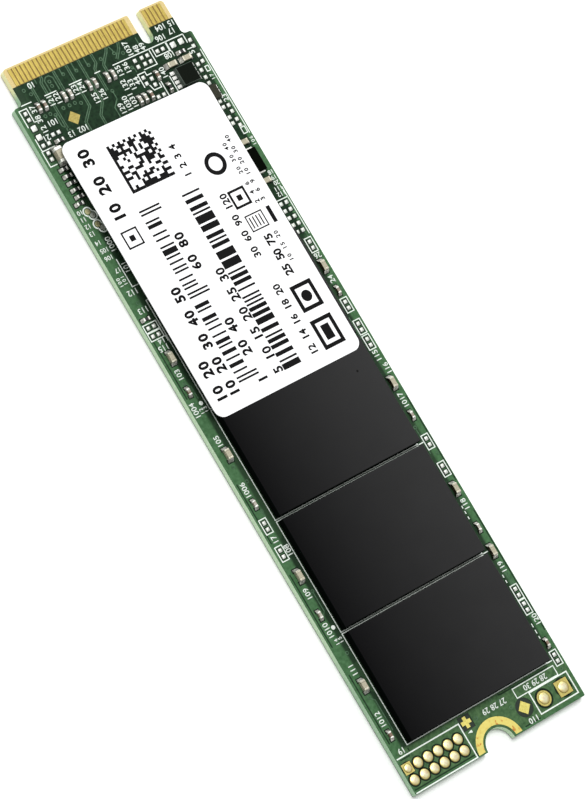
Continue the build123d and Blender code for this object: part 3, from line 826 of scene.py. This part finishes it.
def pillow(shape, x0, y0, x1, y1, low):
    """A closed form on a rectangle: flat below, domed above."""
    shares = [i / pillow_steps for i in range(pillow_steps + 1)]
    rows = []
    for v in shares:
        row = []
        for u in shares:
            point = (x0 + (x1 - x0) * u, y0 + (y1 - y0) * v)
            row += corners(shape, [point], low + pillow_rise * bulge(u) * bulge(v))
        rows.append(row)
    for first, second in zip(rows, rows[1:]):
        for i in range(pillow_steps):
            shape.faces.new((first[i], first[i + 1], second[i + 1], second[i]))
    near, far = rows[0], rows[-1]
    left = [row[0] for row in rows[1:-1]]
    right = [row[-1] for row in rows[1:-1]]
    shape.faces.new(near[::-1] + left + far + right[::-1])


pad_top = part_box("empty_pads")[1].z / MM
pillows = bmesh.new()
for x0, y0, x1, y1 in plan_boxes("empty_pads"):
    pillow(pillows, x0, y0, x1, y1, pad_top)
smooth_piece("pad_solder", pillows, pad_solder, pillow_crease)

# Lands under the leads of the small chips

land_reach = 0.12
land_side = 0.04
lands = Sheet(board_top, land_height)
for node in ("power_chip_leads", "load_switch_leads"):
    for x0, y0, x1, y1 in plan_boxes(node):
        lands.bar(x0 - land_reach, y0 - land_side, x1 + land_reach, y1 + land_side)
lands.piece("lead_lands", lead_solder, "solder")

# White print: numbers beside the parts, short lines and pin marks

number_height = 0.62
small_height = 0.42
edge_height = 0.5
number_weight = 0.014
small_weight = 0.018
small_spacing = 1.3
small_marks = (
    (-10.6, 16.4, 3), (-10.05, 16.4, 3), (-9.95, 1.8, 2), (-9.45, 1.8, 2), (-10.0, -23.7, 2),
    (-9.5, -23.7, 2), (10.65, 23.4, 3), (10.4, 30.9, 2),
)
edge_marks = (
    (-10.55, 24.15, 2), (-10.55, 23.4, 2), (-10.55, 22.6, 2), (-10.55, 21.8, 2), (-10.5, 20.75, 2),
    (-10.3, 19.85, 3), (-10.3, 19.0, 3), (-10.15, 17.55, 2), (10.5, 19.75, 2), (10.5, 19.15, 2),
    (10.5, 18.55, 2), (10.35, 17.95, 3), (10.3, 17.35, 3),
)
upright_marks = (
    (-9.3, 20.2, 4), (-9.1, 17.5, 3), (-9.2, 33.05, 2), (-10.1, 5.9, 3), (-10.6, 2.15, 4),
    (-10.1, -1.5, 3), (-10.25, -6.85, 4), (-10.2, -12.3, 2), (-9.5, -13.8, 3), (-10.1, -18.35, 3),
    (-10.2, -22.35, 4), (-10.05, -26.8, 3), (-10.2, -32.1, 4),
    (10.4, 28.4, 2), (10.3, 7.57, 2), (10.3, -1.15, 3), (10.6, -2.7, 3), (10.3, -6.2, 4),
    (10.3, -18.05, 3), (10.3, -25.15, 3), (10.6, -31.2, 3),
    (-6.95, 35.3, 3), (-6.15, 35.3, 3), (-3.95, 35.3, 3), (-3.2, 35.3, 3), (-2.4, 33.75, 3),
    (-1.5, 33.8, 3), (-9.15, 35.25, 2), (-9.15, 34.15, 2), (-0.45, 31.75, 3), (0.35, 32.0, 4),
    (1.1, 32.0, 4), (1.15, 33.75, 3), (1.9, 33.5, 3), (2.6, 33.6, 2), (1.45, 35.25, 3), (2.35, 35.25, 3),
    (3.55, 36.95, 4), (4.4, 36.5, 2), (5.15, 36.5, 2), (5.7, 33.3, 3), (9.8, 34.1, 2),
)
inverted_marks = (
    (-8.05, 37.5, 2), (-8.0, 33.3, 3), (-5.45, 31.5, 3), (-6.85, 31.5, 2), (8.0, 37.5, 3), (9.35, 37.5, 2),
    (7.4, 36.55, 3), (8.9, 36.75, 2), (7.3, 34.6, 3), (-10.0, -35.7, 2), (4.5, -39.5, 3), (-9.4, 32.15, 2),
    (-9.95, 15.0, 3), (-9.95, 13.0, 3), (-9.7, 9.6, 3), (-10.1, 8.85, 3), (10.3, 10.27, 2),
    (1.4, -36.5, 10), (6.8, -36.45, 9),
)


def counting_text(number, count):
    """One counting number of the given length, or a row of two-digit ones where that is over four."""
    if count > 4:
        return " ".join(str(10 + number + i) for i in range((count + 1) // 3))
    return str(10 ** (count - 1) + number)


marks = Sheet(board_top, print_height)
for places, turn, height, weight, spacing in (
    (small_marks, 90, small_height, small_weight, small_spacing),
    (edge_marks, 180, edge_height, small_weight, 1.0),
    (upright_marks, 90, number_height, number_weight, 1.0),
    (inverted_marks, 180, number_height, number_weight, 1.0),
):
    for i, (x, y, count) in enumerate(places):
        marks.digits(counting_text(i, count), x, y, height, turn, weight, spacing)

line_width = 0.1
print_lines = (
    ((-10.15, 36.0), (-8.9, 36.0)), ((-7.3, 36.0), (-5.85, 36.0)), ((-4.3, 36.0), (-2.75, 36.0)),
    ((-1.15, 36.0), (-0.45, 36.0)), ((1.1, 36.0), (9.9, 36.0)),
    ((-9.75, 34.0), (-9.75, 35.6), (-10.65, 35.6), (-10.65, 33.75)), ((-9.75, 34.05), (-9.3, 34.05)),
    ((-10.65, 32.5), (-10.65, 31.1), (-9.1, 31.1)), ((-10.72, 31.1), (-10.72, 29.4), (-9.9, 29.4)),
    ((5.6, 36.0), (5.6, 34.3), (3.95, 34.3)), ((5.95, 36.0), (5.95, 35.0), (7.64, 35.0), (7.64, 36.0)),
    ((7.72, 36.0), (7.72, 34.9)), ((9.9, 36.0), (9.9, 35.0)),
    ((3.0, 32.65), (3.0, 34.1), (3.9, 34.1), (3.9, 33.7), (4.5, 33.7)),
    ((3.6, 32.7), (3.8, 32.05), (4.7, 32.05), (4.7, 32.5)),
    ((4.95, 32.6), (4.95, label_shade)), ((6.1, 32.7), (6.1, label_shade)), ((10.8, 33.9), (10.8, 24.2)),
    ((10.8, 18.0), (10.8, 12.6)), ((9.3, 16.85), (10.8, 16.85)), ((-9.62, 18.6), (-9.62, 15.5), (-8.8, 15.5)),
    ((9.1, -35.48), (9.75, -35.48)), ((9.2, -10.85), (9.8, -10.85)), ((9.2, -23.2), (9.8, -23.2)),
    ((9.85, -18.1), (9.85, -18.4)), ((9.85, -18.7), (9.85, -19.0)), ((9.85, -19.3), (9.85, -19.6)),
    ((9.85, -25.9), (9.85, -26.2)), ((9.85, -26.5), (9.85, -26.8)), ((9.85, -31.4), (9.85, -31.8)),
    ((9.85, -32.1), (9.85, -32.5)), ((9.85, -32.8), (9.85, -33.1)),
)
print_frames = ((4.08, -37.0, 9.55, -35.9), (10.1, 24.3, 10.68, 25.1), (10.15, 31.5, 10.65, 32.15))
pin_dot_radius = 0.22
pin_dots = ((-9.6, 2.5), (-9.55, -22.35))
pin_arrow = ((-2.65, -37.45), (-2.1, -37.6), (-2.1, -37.3))
for line in print_lines:
    marks.ribbon(line, line_width)
for place in print_frames:
    marks.frame(*place, line_width)
for x, y in pin_dots:
    marks.disc(x, y, pin_dot_radius)
marks.polygon(pin_arrow)

# Each test point and the filled via beside it share one outline, like a figure of eight

pair_reach = Vector((0.33, -0.5))
pair_radius = 0.45
pair_line = 0.14
filled_radius = 0.28
arc_steps = 24
half_opening = math.acos(pair_reach.length / 2 / pair_radius)
filled_vias = Sheet(board_top, via_height)
for x0, y0, x1, y1 in plan_boxes("test_points"):
    point = Vector(((x0 + x1) / 2, (y0 + y1) / 2))
    for middle, towards in ((point, pair_reach), (point + pair_reach, -pair_reach)):
        start = math.atan2(towards.y, towards.x) + half_opening
        sweep = 2 * math.pi - 2 * half_opening
        turns = [start + sweep * i / arc_steps for i in range(arc_steps + 1)]
        marks.ribbon([middle + pair_radius * Vector((math.cos(a), math.sin(a))) for a in turns], pair_line)
    filled_vias.disc(*(point + pair_reach), filled_radius)
filled_vias.piece("filled_vias", via_grey, "solder")
marks.piece("silkscreen_marks", print_white, "white_print")

# Soldered holes at the mounting end

debug_pitch = 1.27
debug_columns = 6
debug_rows = 2
debug_radius = 0.55
square_cap = 0.46
switch_cap = 0.62
bore_radius = 0.3
back_land = 0.04
cap_lift = 0.01
dome_sides = 32
dome_steps = 7
joint_crease = 40

debug_low, debug_high = (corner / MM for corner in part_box("debug_port"))
debug_first = debug_low.x + debug_radius
debug_upper = debug_high.y - debug_radius
crown = debug_high.z
switch_low, switch_high = (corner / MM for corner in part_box("switch_pads"))
switch_radius = (switch_high.y - switch_low.y) / 2
switch_middle = (switch_high.y + switch_low.y) / 2
switch_round = switch_low.x + switch_radius
switch_square = switch_high.x - switch_radius


def dome(radius, base):
    """A round solder cap: (radius, height) points from its rim to its top middle."""
    turns = [math.pi / 2 * i / dome_steps for i in range(dome_steps)]
    sides = [(radius * math.cos(turn), base + (crown - base) * math.sin(turn)) for turn in turns]
    return sides + [(0, crown)]


def solder_joint(shape, x, y, radius, cap_radius):
    """A pad on each face, joined through the board, with a cap of solder on the component face."""
    back_pad = [(0, 0), (radius, 0), (radius, back_land)]
    bore = [(bore_radius, back_land), (bore_radius, core_top)]
    front_pad = [(radius, core_top), (radius, board_top)]
    turned(shape, back_pad + bore + front_pad + dome(cap_radius, board_top + cap_lift), x, y, dome_sides)


def joint_piece(name, shape, node):
    """A node's round joints as one piece, which then stands for the node."""
    piece = smooth_piece(name, shape, warm_solder, joint_crease)
    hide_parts(node)


debug_joints = bmesh.new()
for row in range(debug_rows):
    for column in range(debug_columns):
        x = debug_first + column * debug_pitch
        y = debug_upper - row * debug_pitch
        if row or column:
            solder_joint(debug_joints, x, y, debug_radius, debug_radius)
joint_piece("debug_port_joints", debug_joints, "debug_port")

switch_joints = bmesh.new()
solder_joint(switch_joints, switch_round, switch_middle, switch_radius, switch_cap)
joint_piece("switch_joints", switch_joints, "switch_pads")

# The first hole of each group has square pads, with a cap of its own
square_pads = Sheet(core_top, board_top - core_top + cap_lift)
back_pads = Sheet(0, back_land)
square_caps = bmesh.new()
for x, y, half, cap in (
    (debug_first, debug_upper, debug_radius, square_cap),
    (switch_square, switch_middle, switch_radius, switch_cap),
):
    for pads in (square_pads, back_pads):
        pads.bar(x - half, y - half, x + half, y + half)
    turned(square_caps, [(0, board_top)] + dome(cap, board_top), x, y, dome_sides)
pad_rim = Sheet(board_top + cap_lift, trace_height)
pad_rim.ring(switch_round, switch_middle, switch_radius, switch_cap, dome_sides)
square_pads.piece("square_pads", pad_gold, "gold_plate")
pad_rim.piece("round_pad_rim", pad_gold, "gold_plate")
back_pads.piece("square_back_pads", warm_solder, "solder")
smooth_piece("square_pad_caps", square_caps, warm_solder)

# Label and its print: bar patterns, plain numbers and simple fields, all worked out here

label_corner = 1.0
corner_steps = 10
sheet_top = label_high.z - ink_height


def rounded_outline(low, high, radius, steps):
    """Corners of a rounded rectangle, anticlockwise."""
    points = []
    for x, y, start in (
        (high.x - radius, low.y + radius, -90), (high.x - radius, high.y - radius, 0),
        (low.x + radius, high.y - radius, 90), (low.x + radius, low.y + radius, 180),
    ):
        for i in range(steps + 1):
            angle = math.radians(start + 90 * i / steps)
            points.append((x + radius * math.cos(angle), y + radius * math.sin(angle)))
    return points


sheet = Sheet(label_low.z, sheet_top - label_low.z)
sheet.polygon(rounded_outline(label_low, label_high, label_corner, corner_steps))
label_sheet = sheet.piece("label_sheet", paper, "label_paper")
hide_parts("label")

# Bars and the spaces between them, in modules, as often as each may be drawn
bar_modules = (1, 1, 1, 2, 2, 3, 4)
space_modules = (1, 1, 2, 2, 3)
filled_share = 0.5
pattern = random.Random(80)
inked = Sheet(sheet_top, ink_height)


def bar_run(x0, x1, y0, y1, module):
    """Bars of one to four modules from y0 to y1, from a seeded draw."""
    y = y0
    while y < y1:
        bar = pattern.choice(bar_modules) * module
        inked.bar(x0, y, x1, min(y + bar, y1))
        y += bar + pattern.choice(space_modules) * module


def guarded_bars(x0, x1, reach, guards, module):
    """Runs of bars between pairs of longer guard bars."""
    for place in guards:
        for step in (0, 2 * module):
            inked.bar(x0, place + step, x1 + reach, place + step + module)
    for first, second in zip(guards, guards[1:]):
        bar_run(x0, x1, first + 5 * module, second - 2 * module, module)


def matrix_code(x0, y0, cell, count):
    """A square field of seeded cells with two solid sides and two ticked ones."""
    last = count - 1
    for i in range(count):
        for j in range(count):
            solid = i == 0 or j == 0
            ticked = (i == last and j % 2 == 0) or (j == last and i % 2 == 0)
            if solid or ticked or (0 < i < last and 0 < j < last and pattern.random() < filled_share):
                inked.bar(x0 + i * cell, y0 + j * cell, x0 + (i + 1) * cell, y0 + (j + 1) * cell)


def number_line(x, y0, y1, values, height, weight=0.035):
    """Plain counting numbers along Y, spread from y0 to y1."""
    line = " ".join(str(value) for value in values)
    pitch = (y1 - y0) / len(line)
    for i, digit in enumerate(line):
        if digit != " ":
            inked.digits(digit, x, y0 + (i + 0.5) * pitch, height, 90, weight)


# Rows of numbers: X, first and last Y, values, height of the digits and the weight of heavier ones
number_rows = (
    (-7.95, 1.4, 5.9, range(10, 30, 10), 1.2, 0.045),
    (-6.42, 1.4, 13.5, range(10, 60, 10), 1.15, 0.045),
    (-2.95, 1.4, 2.1, range(1, 2), 1.1, 0.04),
    (-2.95, 4.4, 8.6, range(20, 60, 20), 1.1, 0.04),
    (-2.95, 14.0, 18.2, range(60, 100, 20), 1.1, 0.04),
    (-0.98, 1.5, 13.3, range(5, 35, 5), 1.05),
    (1.5, 22.6, 26.2, range(1, 5), 0.8),
    (3.62, 1.5, 9.4, range(12, 22, 2), 0.85),
    (3.62, 12.5, 19.7, range(30, 150, 30), 0.85),
    (5.75, 9.6, 14.2, range(25, 100, 25), 0.95, 0.04),
    (6.75, 10.7, 14.2, range(10, 25, 5), 0.5),
    (6.75, 17.3, 19.8, range(2, 8, 2), 0.55),
    (7.45, 17.3, 19.8, range(3, 12, 3), 0.55),
    (6.8, 20.6, 24.2, range(20, 50, 10), 0.5),
    (7.5, 20.2, 24.8, range(10, 50, 10), 0.5),
    (-7.55, 21.4, 29.5, range(10, 40, 10), 1.35, 0.045),
)
# Frames, with the width of their line, and the fields in and between them
label_frames = (
    (-8.5, 18.6, -6.6, 20.5, 0.18), (4.8, 1.4, 7.4, 4.6, 0.42), (4.8, 5.6, 7.4, 8.5, 0.42),
    (4.5, 14.9, 6.6, 16.7, 0.14), (4.2, 17.6, 6.2, 19.6, 0.26),
)
label_fields = (
    (-7.85, 19.25, -7.25, 19.85), (7.2, 14.9, 7.65, 16.7), (5.6, 2.2, 6.6, 3.8), (4.9, 18.3, 5.5, 18.9),
)
stripes = 4
stripe_pitch = 0.4
stripe_width = 0.15
stripe_first = 4.85
stripe_low = 15.2
stripe_high = 16.4

guarded_bars(x0=-5.5, x1=-3.8, reach=0.8, guards=(2.4, 11.75, 21.0), module=0.2)
bar_run(x0=-0.4, x1=1.75, y0=1.5, y1=21.85, module=0.21)
for number_row in number_rows:
    number_line(*number_row)
matrix_code(x0=-5.0, y0=23.4, cell=0.33, count=16)
for label_frame in label_frames:
    inked.frame(*label_frame)
for field in label_fields:
    inked.bar(*field)
for stripe in range(stripes):
    x = stripe_first + stripe * stripe_pitch
    inked.bar(x, stripe_low, x + stripe_width, stripe_high)
inked.disc(x=6.1, y=7.05, radius=0.6, sides=32)
inked.ring(x=4.8, y=22.65, outer=1.2, inner=0.75, sides=48)
inked.piece("label_print", ink)

# Mould mark: a small dimple on the flash package beside the label

dimple = Sheet(level=package_top - 0.002, thickness=0.003)
dimple.disc(x=6.76, y=-1.79, radius=0.12, sides=24)
dimple.piece("mould_mark", chip_black, "mould_compound")

# Finishes of the CAD nodes, with the edges of what shows eased

eased_nodes = {
    "controller_chip": (0.03, chip_black, "mould_compound"),
    "power_chip": (0.03, regulator_black, "mould_compound"),
    "load_switch": (0.03, switch_black, "mould_compound"),
    "power_inductor": (0.05, ferrite, "ferrite"),
    "power_inductor_terminals": (0.02, bright_solder, "solder"),
    "power_chip_leads": (0.03, lead_solder, "solder"),
    "load_switch_leads": (0.03, bright_solder, "solder"),
    "coupling_capacitors": (0.015, small_ceramic, "capacitor_ceramic"),
    "coupling_capacitor_terminals": (0.04, bright_solder, "solder"),
    "filter_capacitors": (0.02, grey_ceramic, "capacitor_ceramic"),
    "filter_capacitor_terminals": (0.05, capacitor_tin, "solder"),
    "bulk_capacitor": (0.03, grey_ceramic, "capacitor_ceramic"),
    "bulk_capacitor_terminals": (0.06, bright_solder, "solder"),
    "bypass_capacitors": (0.015, small_ceramic, "capacitor_ceramic"),
    "bypass_capacitor_terminals": (0.04, bright_solder, "solder"),
    "chip_resistors": (0.015, dark_ceramic, "resistor_ceramic"),
    "chip_resistor_terminals": (0.04, bright_solder, "solder"),
    "solder_fillets": (0.02, fillet_solder_painted_glints, "solder"),
    "empty_pads": (0.012, pad_solder, "solder"),
    "clock_crystal": (0.04, can_metal, "crystal_lid"),
    "clock_crystal_base": (0.03, base_ceramic, "crystal_base"),
}
for number in range(1, 5):
    eased_nodes[f"nand_flash_{number}"] = (0.025, flash_black, "mould_compound")
for node, (width, material, slot) in eased_nodes.items():
    eased_copy(node, width, material)

plain_nodes = {
    "circuit_board": board_core,
    "solder_mask_top": mask_green,
    "solder_mask_bottom": back_green,
    "edge_contacts_top": finger_gold,
    "edge_contacts_bottom": finger_gold,
    "mounting_ring_top": bare_ring,
    "mounting_ring_bottom": bare_ring,
    "nand_balls": bright_solder,
    "controller_balls": bright_solder,
    "fiducials": mark_gold,
    "test_points": test_gold,
    "silkscreen_outlines": print_white,
}
for node, material in plain_nodes.items():
    mesh = nodes[node].data
    mesh.materials.clear()
    mesh.materials.append(material)

# Floor, light and camera

floor_reach = 3.0
floor_drop = 0.00002
floor_mesh = bpy.data.meshes.new("floor")
floor_mesh.from_pydata(
    [(x * floor_reach, y * floor_reach, -floor_drop) for x, y in ((-1, -1), (1, -1), (1, 1), (-1, 1))],
    [],
    [(0, 1, 2, 3)],
)
floor_mesh.materials.append(studio_floor())
floor = add_object("floor", floor_mesh)


def aimed(name, data, place, target, roll=0.0):
    """A light or a camera at a place, turned to a target and then about its own axis."""
    made = add_object(name, data)
    made.location = place
    made.rotation_mode = "QUATERNION"
    level = (target - Vector(place)).to_track_quat("-Z", "Y")
    made.rotation_quaternion = level @ Quaternion((0, 0, 1), roll)
    return made


def softbox(name, place, size, power):
    """A square light that faces the card."""
    light = bpy.data.lights.new(name, "AREA")
    light.shape = "SQUARE"
    light.size = size
    light.energy = power
    aimed(name, light, place, Vector((0, 0, 0)))


softbox("key_light", place=(0.02, 0.16, 0.62), size=0.30, power=2.4)
softbox("back_light", place=(0.35, 0.40, 0.45), size=0.40, power=1.6)

sky_strength = 0.55
world = bpy.data.worlds.new("studio")
world.use_nodes = True
backdrop = world.node_tree.nodes["Background"]
backdrop.inputs["Color"].default_value = (1.0, 1.0, 1.0, 1)
backdrop.inputs["Strength"].default_value = sky_strength
bpy.context.scene.world = world
bpy.context.scene.view_settings.view_transform = "Standard"

camera_data = bpy.data.cameras.new("camera")
camera_data.lens = camera_lens
camera_data.clip_start = camera_near
bpy.context.scene.camera = aimed("camera", camera_data, camera_place, camera_aim, camera_roll)
